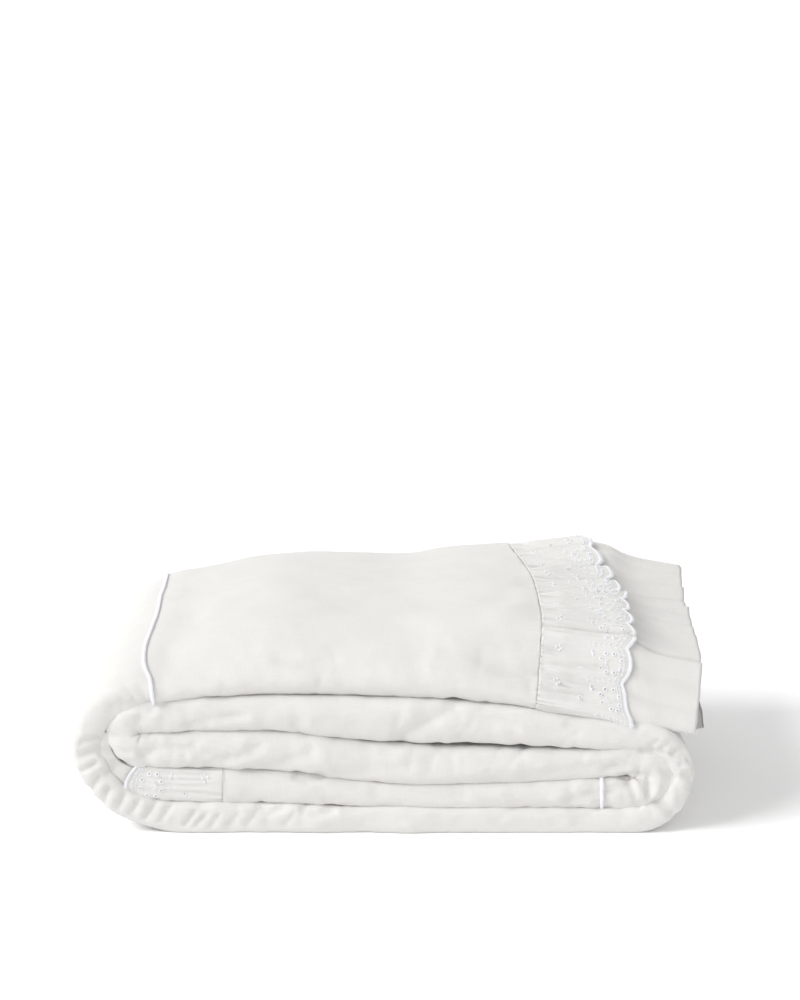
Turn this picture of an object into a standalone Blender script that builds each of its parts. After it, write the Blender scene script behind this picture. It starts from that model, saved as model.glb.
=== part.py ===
# A ruffled flat sheet, folded lengthwise into a long strip, then coiled into five runs.
# Each run is one back-and-forth section of four leaves (two plies of cloth lie together in each leaf).
# The bundle stands on z = 0 with its rounded front folds towards -Y and its open edges towards +Y.

import math

import bmesh
import bpy
import numpy as np
from mathutils import Matrix

MM = 0.001

# Driving dimensions, in metres.
STRIP_FRONT = -0.166  # the rounded fold along the front
STRIP_BACK = 0.164  # the open edges along the back
LEAF_MOST = 0.0055  # thickness of two plies lying together
LEAF_GAP = 0.0012  # between the leaves of one run
RUN_GAP = 0.0016  # between one run and the next
PIECE_GAP = 0.0003  # between pieces that are sewn together
OUTER_CUFF = 0.368  # from the gathered seam to the corded seam
INNER_CUFF = 0.353  # the same panel, drawn up a little by its creases
LACE_LENGTH = 0.080  # gathered seam to the cusps of the scallops
PLAIN_LENGTH = 0.152  # gathered seam to the free edge, along the front
EDGE_LEAN = 0.014  # the outer free edge stands this much further out at the back
INNER_PLAIN = 0.146  # the inner plain tier, as far as it shows round its curl
CORD_WIDTH = 0.0034
CORD_PROUD = 0.0004
FOLD_ROOM = 0.030  # depth of the rounded front fold
HIDDEN_POINTS = 3  # section points along each hidden leaf
LACE_THICK = 0.0014
PLAIN_MOST = 0.0030
PLAIN_GAP = 0.0005  # between the leaves of the thin plain tier
TIER_POINTS = 6  # section points along each leaf of a tier without scallops
TIER_GAP = {"outer": 0.0025, "inner": 0.0018}  # between the lace tier and the plain tier
SCALLOP_PITCH = 0.036
SCALLOP_DEPTH = 0.006
PLEAT_PITCH = 0.058
PLEAT_HEIGHT = 0.0045
SEAM_LEAN = 0.019  # how far the outer gathered seam leans into the cuff at the back
SECTION_STEP = 0.110  # between the sections of a straight run, the same places on every run
CLEAR_OF_CUT = 0.005  # no section is closer than this to the end of a piece
TURN_SECTIONS = 8  # steps round each turn
FOLD_MOST = 0.020  # the front fold's reach back from its tip, at most
FOLD_SHARE = 0.95  # and as a share of the outer leaves' height
LINE_ROWS = 41  # rows of the middle line along each run and round each turn
BACK_CLEAR = 0.004  # the last point of a leaf stays this far from its back fold
INNER_FOLD = 0.010  # the innermost fold lies this far behind the front fold
FRONT_REACH = 0.046  # how far back the top run's slope to the front is felt
BACK_REACH = 0.060  # how far in from the back its lift is felt
SLOPE_FADE = 0.120  # the slope dies away this far past the top run's end
LEAN_FROM = 0.020  # the outer seam leans from this line across the strip to the back
LEAN_CURVE = 1.4
LEAN_FADE = 0.120  # the cuff's lean dies away this far from its seam
PLEAT_GROWTH = 0.8
PLEAT_WANDER = 0.35
PLEAT_WANDER_PITCH = 0.203

# Heights of the runs' faces at five places across the width.
PLACES = np.array((-0.220, -0.110, 0.0, 0.110, 0.220))
FACES = {
    #                far_left  left  middle  right  far_right   (mm)
    "bottom_under": (0.0, 0.0, 0.0, 0.0, 0.0),
    "bottom_over": (25.0, 25.0, 24.5, 23.5, 23.0),
    "fourth_over": (64.0, 60.0, 47.0, 47.0, 54.0),
    "third_over": (97.0, 99.0, 86.0, 80.5, 80.0),
    "second_under": (97.0, 99.5, 88.0, 86.0, 80.5),
    "second_over": (128.0, 132.0, 130.0, 122.5, 107.0),
    "top_over": (168.0, 190.0, 190.0, 196.0, 184.0),
}

# The runs in sewing order, from the outer end to the inner end.
RUNS = {
    # name:     x_from, x_to, under, over, heading
    "top": (0.220, -0.204, "second_over", "top_over", -1),
    "bottom": (-0.187, 0.228, "bottom_under", "bottom_over", 1),
    "second": (0.232, -0.226, "second_under", "second_over", -1),
    "third": (-0.226, 0.230, "fourth_over", "third_over", 1),
    "fourth": (0.230, -0.150, "bottom_over", "fourth_over", -1),
}

# The turns that join each run to the next: how far the middle line reaches past the runs' ends,
# the squeeze of its thickness half-way round, and how far its bulge sags towards the run after it.
TURNS = {
    # name:          reach, squeeze, sag
    "top_bottom": (0.083, 0.38, 0.05),
    "bottom_second": (0.049, 0.20, 0.0),
    "second_third": (0.0155, 0.16, 0.0),
    "third_fourth": (0.0170, 0.18, 0.0),
}

# The free ends past the outermost sections: middle line and thickness of the ruffles.
OUTER_END = {
    # name:      x, z, thickness   (mm)
    "edge": (308.0, 126.0, 60.0),
    "lace": (252.0, 137.0, 61.0),
}
INNER_END = {
    # name:      x, z, thickness   (mm)
    "lace": (-205.0, 46.6, 27.6),
    "bend": (-233.0, 50.8, 22.5),
    "rise": (-250.5, 61.5, 14.0),
    "curl": (-260.2, 81.0, 11.6),
    "edge": (-259.6, 98.0, 11.6),
}

# The gathered tiers at both ends, each a lace tier over a longer plain one.
TIERS = {
    # name:                 end, kind, length, pitch of its section points
    "lace_ruffle_outer": ("outer", "lace", LACE_LENGTH, SCALLOP_PITCH / 3),
    "plain_ruffle_outer": ("outer", "plain", PLAIN_LENGTH, SCALLOP_PITCH / 3),
    "lace_ruffle_inner": ("inner", "lace", LACE_LENGTH, SCALLOP_PITCH / 2),
    "plain_ruffle_inner": ("inner", "plain", INNER_PLAIN, None),
}

# The top run's height along its back edge, as a share of its thickness, by distance along the strip.
BACK_LIFT = {
    # name:         distance, share
    "free_edge": (0.0, 0.42),
    "lace_edge": (0.084, 0.50),
    "seam": (0.169, 0.04),
    "cuff": (0.274, -0.08),
    "turn": (0.534, -0.06),
    "past_turn": (0.714, 0.0),
}

# The top run's slope to its front fold, as a share of its thickness, by distance past the gathered seam.
FRONT_SLOPE = {
    # name:      distance, share
    "ruffle": (-0.030, 0.78),
    "cuff": (0.100, 0.52),
}

# Front fold of each run: how far it stands back from STRIP_FRONT, from start to end.
FRONT_BACKSET = {
    # name:    start, middle, end   (mm)
    "top": (5.0, 6.0, 3.0),
    "bottom": (1.0, 0.0, 1.0),
    "second": (2.0, 1.0, 3.0),
    "third": (2.0, 0.5, 2.5),
    "fourth": (3.0, 2.0, 4.0),
}


def catmull(a, b, c, d, t):
    """Point at t between b and c on the smooth curve through a, b, c and d."""
    bend = 2 * a - 5 * b + 4 * c - d
    twist = 3 * b - a - 3 * c + d
    return 0.5 * (2 * b + (c - a) * t + bend * t**2 + twist * t**3)


def smooth_between(places, values, x):
    """Smooth curve through values at evenly spaced places, held flat past both ends."""
    padded = np.concatenate((values[:1], values, values[-1:]))
    step = places[1] - places[0]
    at = np.clip((x - places[0]) / step, 0, len(places) - 1 - 1e-9)
    i = int(at)
    return catmull(*padded[i : i + 4], at - i)


def face_height(name, x):
    return smooth_between(PLACES, np.array(FACES[name]) * MM, x)


def run_rows(name):
    """(x, z, thickness, backset) of the run's middle line, from its start to its end."""
    x_from, x_to, under, over, _ = RUNS[name]
    backsets = np.array(FRONT_BACKSET[name]) * MM
    rows = []
    for t in np.linspace(0, 1, LINE_ROWS):
        x = x_from + (x_to - x_from) * t
        low = face_height(under, x) + (0 if under == "bottom_under" else RUN_GAP / 2)
        high = face_height(over, x) - (0 if over == "top_over" else RUN_GAP / 2)
        backset = smooth_between(np.array((0.0, 0.5, 1.0)), backsets, t)
        rows.append((x, (low + high) / 2, high - low, backset))
    return rows


def turn_rows(first, second, reach, squeeze, sag, side):
    """Half an ellipse from the last row of one run to the first row of the next."""
    rows = []
    for angle in np.linspace(0, math.pi, LINE_ROWS)[1:-1]:
        part = (1 - math.cos(angle)) / 2
        x, z, thick, backset = (np.array(first) * (1 - part) + np.array(second) * part).tolist()
        x += side * reach * math.sin(angle) * (1 - sag * math.cos(angle))
        rows.append((x, z, thick * (1 - squeeze * math.sin(angle)), backset))
    return rows


def joined_by_curve(row, extra):
    """The rows of a smooth curve from one row through the free end's own rows."""
    points = np.array([row] + extra)
    out = []
    for i in range(len(points) - 1):
        before = points[i - 1] if i else 2 * points[0] - points[1]
        after = points[i + 2] if i + 2 < len(points) else 2 * points[-1] - points[-2]
        for t in np.linspace(0, 1, 9)[1:]:
            out.append(tuple(catmull(before, points[i], points[i + 1], after, t)))
    return out


def middle_line():
    """The whole strip as rows of (x, z, thickness, backset) from the outer free edge to the inner one."""
    names = list(RUNS)
    rows = run_rows(names[0])
    for i in range(1, len(names)):
        following = run_rows(names[i])
        shape = TURNS[names[i - 1] + "_" + names[i]]
        rows += turn_rows(rows[-1], following[0], *shape, RUNS[names[i - 1]][4])
        rows += following
    outer = [np.array(v + (FRONT_BACKSET["top"][0],)) * MM for v in OUTER_END.values()][::-1]
    inner = [np.array(v + (FRONT_BACKSET["fourth"][2],)) * MM for v in INNER_END.values()]
    ahead = joined_by_curve(rows[0], outer)[::-1]
    behind = joined_by_curve(rows[-1], inner)
    return np.array(ahead + rows + behind)


LINE = middle_line()
REACH = np.concatenate(([0.0], np.cumsum(np.hypot(*np.diff(LINE[:, :2], axis=0).T))))
TANGENT = np.gradient(LINE[:, :2], REACH, axis=0)
HEADING = np.unwrap(np.arctan2(TANGENT[:, 1], TANGENT[:, 0]))


def place_at(s):
    """Middle point and outward normal at the distance s along the strip."""
    x, z = np.interp(s, REACH, LINE[:, 0]), np.interp(s, REACH, LINE[:, 1])
    heading = np.interp(s, REACH, HEADING)
    return np.array((x, z)), np.array((math.sin(heading), -math.cos(heading)))


def thickness_at(s):
    return np.interp(s, REACH, LINE[:, 2])


def distance_where(x, run):
    """Distance along the strip at which a run passes x."""
    heights = face_height(RUNS[run][2], x), face_height(RUNS[run][3], x)
    near = np.hypot(LINE[:, 0] - x, (LINE[:, 1] - sum(heights) / 2))
    return REACH[int(near.argmin())]


def all_stations():
    """Distances of the sections: evenly round each turn, and at the same places on every run."""
    stations = []
    for name, run in RUNS.items():
        x_from, x_to = run[:2]
        count = int(max(abs(x_from), abs(x_to)) / SECTION_STEP)
        stations += [distance_where(x, name) for x in np.arange(-count, count + 1) * SECTION_STEP]
        stations += [distance_where(x_from, name), distance_where(x_to, name)]
    ends = [distance_where(RUNS[name][1], name) for name in list(RUNS)[:-1]]
    starts = [distance_where(RUNS[name][0], name) for name in list(RUNS)[1:]]
    for end, start in zip(ends, starts):
        stations += list(np.linspace(end, start, TURN_SECTIONS + 1)[1:-1])
    return np.array(sorted(stations))


def section_steps(start, end):
    """Distances of the sections from one cut to another."""
    inside = STATIONS[(STATIONS > start + CLEAR_OF_CUT) & (STATIONS < end - CLEAR_OF_CUT)]
    inside = inside[np.concatenate(([True], np.diff(inside) > CLEAR_OF_CUT))] if len(inside) else inside
    return np.concatenate(([start], inside, [end]))


def half_ellipse(y, low, high, reach, count):
    """Points round a fold whose middle line goes from height low to height high."""
    angles = np.linspace(0, math.pi, count + 2)[1:-1]
    middle, half = (low + high) / 2, (high - low) / 2
    return [(y + reach * math.sin(a), middle - half * math.cos(a)) for a in angles]


def arm_places(start, end, count, pitch):
    """Places along one leaf: evenly spread, or by the pitch of the scallops from the back."""
    if pitch:
        count = int((STRIP_BACK - STRIP_FRONT - FOLD_ROOM) / pitch)
        return end - pitch * np.arange(count, -1, -1)
    return np.linspace(start, end, count)


def leaf_line(thick, leaf, backset, leaves, arm_points, pitch=None):
    """Middle line of the folded leaves across the strip, as rows of (y, height from the middle)."""
    outer = thick / 2 - leaf / 2
    inner = outer / 3
    fold = min(FOLD_MOST, outer * FOLD_SHARE)
    tip = STRIP_FRONT + backset + leaf / 2
    arm = arm_places(tip + fold, STRIP_BACK, arm_points, pitch)
    rows = [(y, -outer) for y in arm[::-1]]
    rows += half_ellipse(tip + fold, -outer, outer, -fold, 5)
    if leaves == 2:
        return rows + [(y, outer) for y in arm]
    end = STRIP_BACK - inner
    rows += [(y, outer) for y in arm if y < end - BACK_CLEAR] + [(end, outer)]
    rows += half_ellipse(end, outer, inner, inner, 2)
    inside = np.linspace(end, tip + fold + INNER_FOLD, HIDDEN_POINTS)
    rows += [(y, inner) for y in inside]
    rows += half_ellipse(inside[-1], inner, -inner, -inner, 2)
    return rows + [(y, -inner) for y in inside[::-1]]


def band(rows, leaf):
    """Both sides of the leaves round their middle line, square to it at each bend."""
    line = np.array(rows)
    steps = np.diff(line, axis=0)
    steps /= np.linalg.norm(steps, axis=1)[:, None]
    before = np.concatenate((steps[:1], steps))
    after = np.concatenate((steps, steps[-1:]))
    along = before + after
    along /= np.linalg.norm(along, axis=1)[:, None]
    miter = 1 / np.sum(along * after, axis=1)
    normal = np.stack((along[:, 1], -along[:, 0]), axis=1) * miter[:, None]
    return line + normal * leaf / 2, line - normal * leaf / 2


def swell(s, y):
    """The top run slopes down to its front fold, and its ruffle stands up towards the back."""
    top_run = np.interp(s, (S_TOP_END, S_TOP_END + SLOPE_FADE), (1.0, 0.0))
    slope = np.interp(s - S_SEAM_OUTER, *zip(*FRONT_SLOPE.values()))
    front = slope * math.exp(-(((y - STRIP_FRONT) / FRONT_REACH) ** 2))
    lift = np.interp(s, *zip(*BACK_LIFT.values()))
    back = lift * math.exp(-(((y - STRIP_BACK) / BACK_REACH) ** 2))
    return 1 - top_run * front + back


def pleat(s, y):
    """Lift of the gathers on the outer ruffle, which grows towards its free edge."""
    grown = np.clip((S_SEAM_OUTER - s) / PLAIN_LENGTH, 0, 1) ** PLEAT_GROWTH
    wander = PLEAT_WANDER * math.sin(2 * math.pi * y / PLEAT_WANDER_PITCH)
    return PLEAT_HEIGHT * grown * math.sin(2 * math.pi * y / PLEAT_PITCH + wander)


def lay(s, y, n, thick, pleated):
    """World point of a section point: y across the strip, n from its middle line."""
    share = np.clip((n + thick / 2) / thick, 0, 1)
    n = -thick / 2 + (n + thick / 2) * swell(s, y)
    if pleated:
        n += share * pleat(s, y)
    middle, normal = place_at(s)
    x, z = middle + n * normal
    return x, y, z


def new_object(name, collection, finish):
    mesh = bpy.data.meshes.new(name)
    piece = bpy.data.objects.new(name, mesh)
    collection.objects.link(piece)
    material = bpy.data.materials.new(name + "_finish")
    material.use_nodes = True
    shader = material.node_tree.nodes["Principled BSDF"]
    shader.inputs["Base Color"].default_value = (*finish["color"], 1)
    shader.inputs["Roughness"].default_value = finish["roughness"]
    shader.inputs["Metallic"].default_value = 0
    mesh.materials.append(material)
    return piece


def loft(name, collection, finish, sections):
    """One closed solid through sections that each hold the two sides of a folded band."""
    piece = new_object(name, collection, finish)
    shell = bmesh.new()
    rings = []
    for near, far in sections:
        rings.append(([shell.verts.new(p) for p in near], [shell.verts.new(p) for p in far]))
    for (near, far), (near_next, far_next) in zip(rings, rings[1:]):
        loop, loop_next = near + far[::-1], near_next + far_next[::-1]
        for i in range(len(loop)):
            j = (i + 1) % len(loop)
            shell.faces.new((loop[i], loop[j], loop_next[j], loop_next[i]))
    for near, far in (rings[0], rings[-1]):
        for i in range(len(near) - 1):
            shell.faces.new((near[i], near[i + 1], far[i + 1], far[i]))
    bmesh.ops.recalc_face_normals(shell, faces=shell.faces)
    shell.to_mesh(piece.data)
    shell.free()
    piece.data.shade_smooth()
    piece.data.set_sharp_from_angle(angle=math.radians(50))
    return piece


def leaf_thickness(thick, most, gap):
    return min(most, thick / 4 - gap)


def strip_piece(name, collection, finish, start, end, proud=0.0, lean=None):
    """A stretch of the folded strip from one distance to another."""
    sections = []
    steps = section_steps(start, end)
    for s in steps:
        thick = thickness_at(s)
        leaf = leaf_thickness(thick, LEAF_MOST, LEAF_GAP)
        rows = leaf_line(thick, leaf, np.interp(s, REACH, LINE[:, 3]), 4, 5)
        shift = [lean(s, y) if lean else 0.0 for y, _ in rows]
        sides = []
        for side in band(rows, leaf + 2 * proud):
            sides.append([lay(s + d, y, n, thick, False) for (y, n), d in zip(side, shift)])
        sections.append(sides)
    return loft(name, collection, finish, sections)


def seam_lean(y):
    """The outer gathered seam's shift along the strip, nil at the front."""
    part = np.clip((y - LEAN_FROM) / (STRIP_BACK - LEAN_FROM), 0, 1)
    return SEAM_LEAN * part**LEAN_CURVE


def edge_lean(y):
    """How much further out the outer free edge stands, from nil at the front to all at the back."""
    return EDGE_LEAN * np.clip((y - STRIP_FRONT) / (STRIP_BACK - STRIP_FRONT), 0, 1)


def cuff_lean(s, y):
    """The cuff follows its seam at one end and its cord at the other."""
    return seam_lean(y) * np.clip(1 - (s - S_SEAM_OUTER) / LEAN_FADE, 0, 1)


def scallop(y):
    return SCALLOP_DEPTH * abs(math.sin(math.pi * (STRIP_BACK - y) / SCALLOP_PITCH))


def ruffle(name, collection, finish):
    """A gathered tier sewn at its seam, as its row in TIERS says."""
    end, kind, length, pitch = TIERS[name]
    seam, away = (S_SEAM_OUTER, -1) if end == "outer" else (S_SEAM_INNER, 1)
    lace = kind == "lace"
    inset = 0.0 if lace else LACE_THICK + TIER_GAP[end]
    sections = []
    step = LACE_LENGTH / 3
    for reach in np.append(np.arange(0, length - step / 3, step), length):
        s_row = seam + away * (PIECE_GAP + reach)
        full = thickness_at(s_row)
        thick = full - 2 * inset
        leaf = LACE_THICK if lace else leaf_thickness(thick, PLAIN_MOST, PLAIN_GAP)
        backset = np.interp(s_row, REACH, LINE[:, 3]) + inset
        rows = leaf_line(thick, leaf, backset, 2 if lace else 4, TIER_POINTS, pitch)
        shift = []
        for y, _ in rows:
            out = reach / PLAIN_LENGTH
            lean = seam_lean(y) * (1 - out) - edge_lean(y) * out if end == "outer" else 0.0
            shift.append(lean + (away * scallop(y) * reach / length if lace else 0.0))
        sides = []
        for side in band(rows, leaf):
            across = zip(side, shift)
            sides.append([lay(s_row + d, y, n, full, end == "outer") for (y, n), d in across])
        sections.append(sides)
    return loft(name, collection, finish, sections)


def clear_scene():
    for item in list(bpy.data.objects):
        bpy.data.objects.remove(item, do_unlink=True)


STATIONS = all_stations()
S_SEAM_OUTER = EDGE_LEAN + PLAIN_LENGTH + PIECE_GAP
S_TOP_END = distance_where(RUNS["top"][1], "top")
S_CORD_OUTER = S_SEAM_OUTER + OUTER_CUFF
S_SEAM_INNER = distance_where(RUNS["fourth"][1], "fourth")
S_CORD_INNER = S_SEAM_INNER - INNER_CUFF

LINEN = {"color": (0.80, 0.78, 0.73), "roughness": 0.95}
LACE_CLOTH = {"color": (0.82, 0.81, 0.79), "roughness": 0.90}
WHITE_CORD = {"color": (0.86, 0.87, 0.90), "roughness": 0.75}


def build():
    clear_scene()
    sheet = bpy.data.collections.new("ruffled_flat_sheet")
    bpy.context.scene.collection.children.link(sheet)
    half = CORD_WIDTH / 2
    edge = half + PIECE_GAP
    strip_piece(
        "cuff_outer", sheet, LINEN, S_SEAM_OUTER + PIECE_GAP, S_CORD_OUTER - edge, lean=cuff_lean
    )
    strip_piece("sheet_body", sheet, LINEN, S_CORD_OUTER + edge, S_CORD_INNER - edge)
    strip_piece("cuff_inner", sheet, LINEN, S_CORD_INNER + edge, S_SEAM_INNER - PIECE_GAP)
    for name, s in (("cord_outer", S_CORD_OUTER), ("cord_inner", S_CORD_INNER)):
        strip_piece(name, sheet, WHITE_CORD, s - half, s + half, CORD_PROUD)
    for name in TIERS:
        ruffle(name, sheet, LACE_CLOTH if TIERS[name][1] == "lace" else LINEN)
    corners = np.array([c for o in sheet.objects for c in o.bound_box])
    shift = -(corners.min(axis=0) + corners.max(axis=0)) / 2
    shift[2] = 0
    for piece in sheet.objects:
        piece.data.transform(Matrix.Translation(shift))


build()
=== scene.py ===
import math
import random

import bpy
import numpy as np
from mathutils import Matrix, Vector


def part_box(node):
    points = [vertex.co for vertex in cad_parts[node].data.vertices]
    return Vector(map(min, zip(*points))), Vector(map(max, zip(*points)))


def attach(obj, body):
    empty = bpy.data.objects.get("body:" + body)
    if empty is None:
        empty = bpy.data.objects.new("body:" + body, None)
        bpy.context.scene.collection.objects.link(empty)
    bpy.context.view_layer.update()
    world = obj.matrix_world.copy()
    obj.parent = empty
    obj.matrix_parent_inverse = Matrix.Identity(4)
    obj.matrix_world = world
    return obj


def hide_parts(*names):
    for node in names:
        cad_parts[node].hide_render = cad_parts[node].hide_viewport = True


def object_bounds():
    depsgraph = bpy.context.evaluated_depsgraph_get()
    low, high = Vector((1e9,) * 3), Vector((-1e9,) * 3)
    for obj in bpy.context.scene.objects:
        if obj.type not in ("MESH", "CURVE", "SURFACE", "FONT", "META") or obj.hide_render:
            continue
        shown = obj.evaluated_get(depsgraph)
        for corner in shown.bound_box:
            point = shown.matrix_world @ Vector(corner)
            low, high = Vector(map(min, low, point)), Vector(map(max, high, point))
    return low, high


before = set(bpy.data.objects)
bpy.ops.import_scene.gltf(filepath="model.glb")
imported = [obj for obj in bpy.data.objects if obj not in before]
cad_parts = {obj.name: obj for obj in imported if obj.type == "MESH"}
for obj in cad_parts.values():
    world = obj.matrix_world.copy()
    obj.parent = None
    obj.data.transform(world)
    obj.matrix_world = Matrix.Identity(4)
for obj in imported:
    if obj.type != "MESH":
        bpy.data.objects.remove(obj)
cadLow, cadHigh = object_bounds()
print("frame loaded")

mm = 0.001

# The folded strip: the same few sizes as the solids, in metres.
strip = {
    "front": -0.166, "back": 0.164, "runGap": 0.0016, "pieceGap": 0.0003, "outerCuff": 0.368,
    "innerCuff": 0.353, "laceLength": 0.080, "plainLength": 0.152, "innerPlain": 0.146,
    "edgeLean": 0.014, "seamLean": 0.019, "cordWidth": 0.0034, "foldMost": 0.020,
    "scallopPitch": 0.036, "scallopDepth": 0.006, "plies": 8,
}

places = np.array((-0.220, -0.110, 0.0, 0.110, 0.220))
faces = {  # heights of the runs' faces at the five places, in mm
    "bottomUnder": (0.0, 0.0, 0.0, 0.0, 0.0),
    "bottomOver": (25.0, 25.0, 24.5, 23.5, 23.0),
    "fourthOver": (64.0, 60.0, 47.0, 47.0, 54.0),
    "thirdOver": (97.0, 99.0, 86.0, 80.5, 80.0),
    "secondUnder": (97.0, 99.5, 88.0, 86.0, 80.5),
    "secondOver": (128.0, 132.0, 130.0, 122.5, 107.0),
    "topOver": (168.0, 190.0, 190.0, 196.0, 184.0),
}
runs = {  # from x, to x, under face, over face, heading
    "top": (0.220, -0.204, "secondOver", "topOver", -1),
    "bottom": (-0.187, 0.228, "bottomUnder", "bottomOver", 1),
    "second": (0.232, -0.226, "secondUnder", "secondOver", -1),
    "third": (-0.226, 0.230, "fourthOver", "thirdOver", 1),
    "fourth": (0.230, -0.150, "bottomOver", "fourthOver", -1),
}
turns = {  # reach, squeeze, sag
    "top": (0.083, 0.38, 0.05),
    "bottom": (0.049, 0.20, 0.0),
    "second": (0.0155, 0.16, 0.0),
    "third": (0.0170, 0.18, 0.0),
}
outerEnd = ((252.0, 137.0, 61.0), (308.0, 126.0, 60.0))  # x, z, thickness in mm
innerEnd = (
    (-205.0, 46.6, 27.6),
    (-233.0, 50.8, 22.5),
    (-250.5, 61.5, 14.0),
    (-260.2, 81.0, 11.6),
    (-259.6, 98.0, 11.6),
)
frontBackset = {  # start, middle, end of each run, in mm
    "top": (5.0, 6.0, 3.0),
    "bottom": (1.0, 0.0, 1.0),
    "second": (2.0, 1.0, 3.0),
    "third": (2.0, 0.5, 2.5),
    "fourth": (3.0, 2.0, 4.0),
}
# By distance along the strip and from the seam: how the back rises and the front of the top slopes.
backLift = ((0.0, 0.36), (0.084, 0.36), (0.169, 0.04), (0.274, -0.08), (0.534, -0.06), (0.714, 0.0))
frontSlope = ((-0.030, 0.78), (0.100, 0.52))


def bell(value, middle, width):
    return np.exp(-(((value - middle) / width) ** 2))


def unit(value):
    return np.clip(value, 0, 1)


def catmull(a, b, c, d, t):
    bend = 2 * a - 5 * b + 4 * c - d
    twist = 3 * b - a - 3 * c + d
    return 0.5 * (2 * b + (c - a) * t + bend * t**2 + twist * t**3)


def smoothBetween(at, values, x):
    padded = np.concatenate((values[:1], values, values[-1:]))
    spot = np.clip((x - at[0]) / (at[1] - at[0]), 0, len(at) - 1 - 1e-9)
    i = int(spot)
    return catmull(*padded[i : i + 4], spot - i)


def faceHeight(name, x):
    return smoothBetween(places, np.array(faces[name]) * mm, x)


def runRows(name):
    xFrom, xTo, under, over, _ = runs[name]
    rows = []
    for t in np.linspace(0, 1, 41):
        x = xFrom + (xTo - xFrom) * t
        low = faceHeight(under, x) + (0 if under == "bottomUnder" else strip["runGap"] / 2)
        high = faceHeight(over, x) - (0 if over == "topOver" else strip["runGap"] / 2)
        backset = smoothBetween(np.array((0.0, 0.5, 1.0)), np.array(frontBackset[name]) * mm, t)
        rows.append((x, (low + high) / 2, high - low, backset))
    return rows


def turnRows(first, second, reach, squeeze, sag, side):
    rows = []
    for angle in np.linspace(0, math.pi, 41)[1:-1]:
        part = (1 - math.cos(angle)) / 2
        x, z, thick, backset = np.array(first) * (1 - part) + np.array(second) * part
        x += side * reach * math.sin(angle) * (1 - sag * math.cos(angle))
        rows.append((x, z, thick * (1 - squeeze * math.sin(angle)), backset))
    return rows


def freeEnd(row, extra, backset):
    points = np.array([row] + [tuple(np.array(e) * mm) + (backset * mm,) for e in extra])
    out = []
    for i in range(len(points) - 1):
        before = points[i - 1] if i else 2 * points[0] - points[1]
        after = points[i + 2] if i + 2 < len(points) else 2 * points[-1] - points[-2]
        for t in np.linspace(0, 1, 9)[1:]:
            out.append(tuple(catmull(before, points[i], points[i + 1], after, t)))
    return out


def middleLine():
    names = list(runs)
    rows = runRows(names[0])
    for before, name in zip(names, names[1:]):
        following = runRows(name)
        rows += turnRows(rows[-1], following[0], *turns[before], runs[before][4]) + following
    ahead = freeEnd(rows[0], outerEnd, frontBackset["top"][0])[::-1]
    behind = freeEnd(rows[-1], innerEnd, frontBackset["fourth"][2])
    return np.array(ahead + rows + behind)


line = middleLine()
reach = np.concatenate(([0.0], np.cumsum(np.hypot(*np.diff(line[:, :2], axis=0).T))))
fine = np.arange(0, reach[-1], 0.002)
smoothLine = np.array([np.interp(fine, reach, line[:, k]) for k in range(4)])
for k in range(4):  # rounds off the joins of runs and turns
    spread = bell(np.arange(-6, 7), 0, 3.0)
    padded = np.pad(smoothLine[k], 6, mode="reflect", reflect_type="odd")
    smoothLine[k] = np.convolve(padded, spread / spread.sum(), mode="valid")
tangentX, tangentZ = np.gradient(smoothLine[0], fine), np.gradient(smoothLine[1], fine)
headingLine = np.unwrap(np.arctan2(tangentZ, tangentX))


def distanceWhere(x, run):
    height = (faceHeight(runs[run][2], x) + faceHeight(runs[run][3], x)) / 2
    return reach[int(np.hypot(line[:, 0] - x, line[:, 1] - height).argmin())]


topEnd = distanceWhere(runs["top"][1], "top")
seamOuter = strip["edgeLean"] + strip["plainLength"] + strip["pieceGap"]
cordOuter = seamOuter + strip["outerCuff"]
seamInner = distanceWhere(runs["fourth"][1], "fourth")
cordInner = seamInner - strip["innerCuff"]

# The solids were moved to the middle of their box, and the cloth goes with them.
turnThick = np.interp(fine, reach, line[:, 2])
leftMost = (smoothLine[0] - turnThick / 2 * np.abs(np.sin(headingLine))).min()
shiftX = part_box("sheet_body")[0].x - leftMost
shiftY = cadLow.y - strip["front"]
print("strip of", round(float(reach[-1]), 3), "m; shift", round(shiftX, 4), round(shiftY, 4))


# How the plies end: shares of the thickness, then metres.
plyEnds = {
    "frontDepth": 0.80, "frontRound": 0.72, "levelShare": 0.5, "innerTuck": 1.1,
    "backRound": (1.5, 0.5, 0.5, 1.5, 0.5, 0.5, 0.0, 0.0),  # ply 0 to ply 7
    "levelStep": 0.004, "looseEdge": 0.002,
}


# The eight plies in the order in which the cloth runs through them, joined front and back by turns.
plyOrder = (7, 0, 3, 4, 5, 2, 1, 6)


def foldPlan(top, front, under, hidden, innerFront, backFold):
    plan = []
    for i, ply in enumerate(plyOrder):
        plan.append(("leg", ply, 1 if i % 2 else -1, (top, under)[i] if i < 2 else hidden))
        if i % 2:
            kind, count = "back", backFold
        else:
            kind, count = "front", innerFront if i else front
        if ply != plyOrder[-1]:
            plan.append((kind, ply, plyOrder[i + 1], count))
    return plan


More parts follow.
